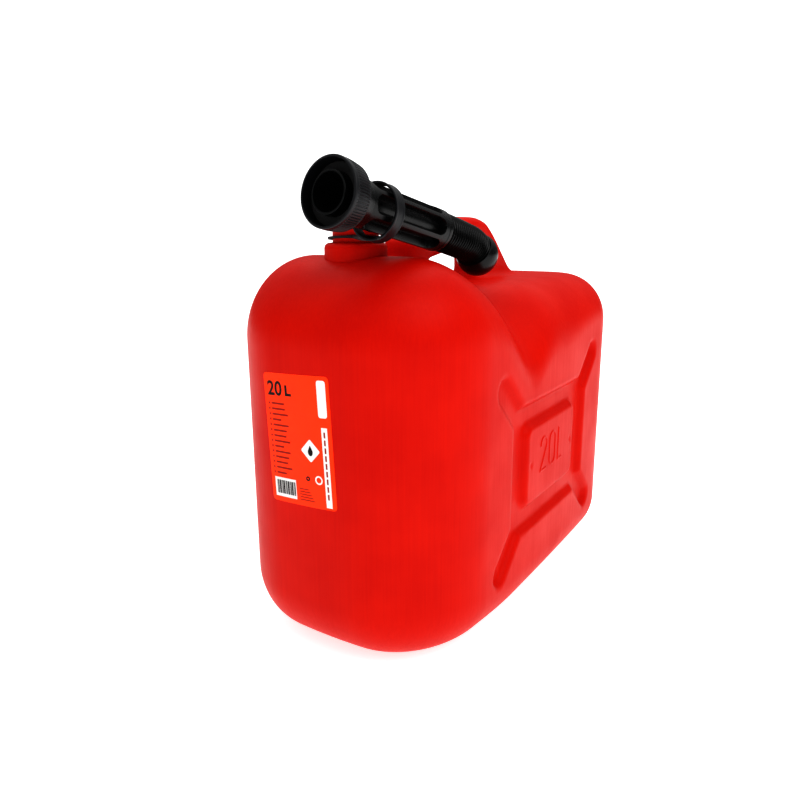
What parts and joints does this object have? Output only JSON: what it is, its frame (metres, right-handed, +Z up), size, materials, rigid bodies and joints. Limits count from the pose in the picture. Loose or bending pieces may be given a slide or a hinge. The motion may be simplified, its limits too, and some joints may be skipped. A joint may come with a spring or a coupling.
{
  "type": "plastic fuel can with flexible spout",
  "caption": "Moulded plastic fuel can with top handle, screw cap and a flexible pouring spout stowed on a keeper strap.",
  "frame": {"origin": "centre of the flat base of the can, on the surface it stands on", "axes": "+Z up, +Y along the can's length away from the neck end, +X towards the side on which the spout is stowed"},
  "size_m": [0.2134, 0.4479, 0.3737],
  "materials": {
    "can_shell": "satin blow-moulded polyethylene",
    "spout_plastic": "satin moulded polypropylene",
    "hose_plastic": "flexible polyethylene",
    "seal_rubber": "matt nitrile rubber",
    "label_film": "glossy printed film"
  },
  "bodies": {
    "can": {"can_body": "can_shell", "front_label": "label_film"},
    "cap_liner": {"cap_seal": "seal_rubber"},
    "cap": {"screw_cap": "spout_plastic"},
    "keeper": {"spout_keeper": "hose_plastic"},
    "spout": {"spout_body": "spout_plastic", "spout_gasket": "seal_rubber", "vent_tube": "spout_plastic", "corrugated_hose": "hose_plastic"},
    "nut": {"spout_nut": "spout_plastic"},
    "nozzle_end": {"nozzle": "spout_plastic", "dust_cap": "hose_plastic"}
  },
  "joints": [
    {"name": "cap_lift", "type": "slide", "parent": "can", "child": "cap_liner", "axis": [0, 0, 1], "range_m": [0, 0.0182]},
    {"name": "cap_turn", "type": "hinge", "parent": "cap_liner", "child": "cap", "pos_m": [0, -0.1468, 0.345], "axis": [0, 0, 1], "range_deg": [0, 1260]},
    {"name": "keeper_swivel", "type": "hinge", "parent": "can", "child": "keeper", "pos_m": [0, -0.1468, 0.3222], "axis": [0, 0, 1], "range_deg": [-60, 0]},
    {"name": "spout_roll", "type": "hinge", "parent": "keeper", "child": "spout", "pos_m": [0.0415, -0.2315, 0.3514], "axis": [0.0562, 0.9795, -0.1936], "range_deg": [-45, 90]},
    {"name": "nut_turn", "type": "hinge", "parent": "spout", "child": "nut", "pos_m": [0.0415, -0.2315, 0.3514], "axis": [0.0562, 0.9795, -0.1936], "continuous": true},
    {"name": "hose_bend", "type": "hinge", "parent": "spout", "child": "nozzle_end", "pos_m": [0.0503, -0.0747, 0.3197], "axis": [1, 0, 0], "range_deg": [0, 60], "deforming": ["corrugated_hose"]}
  ],
  "couplings": [
    {"joint": "cap_turn", "follows": "cap_lift", "rad_per_m": 1208.3}
  ]
}
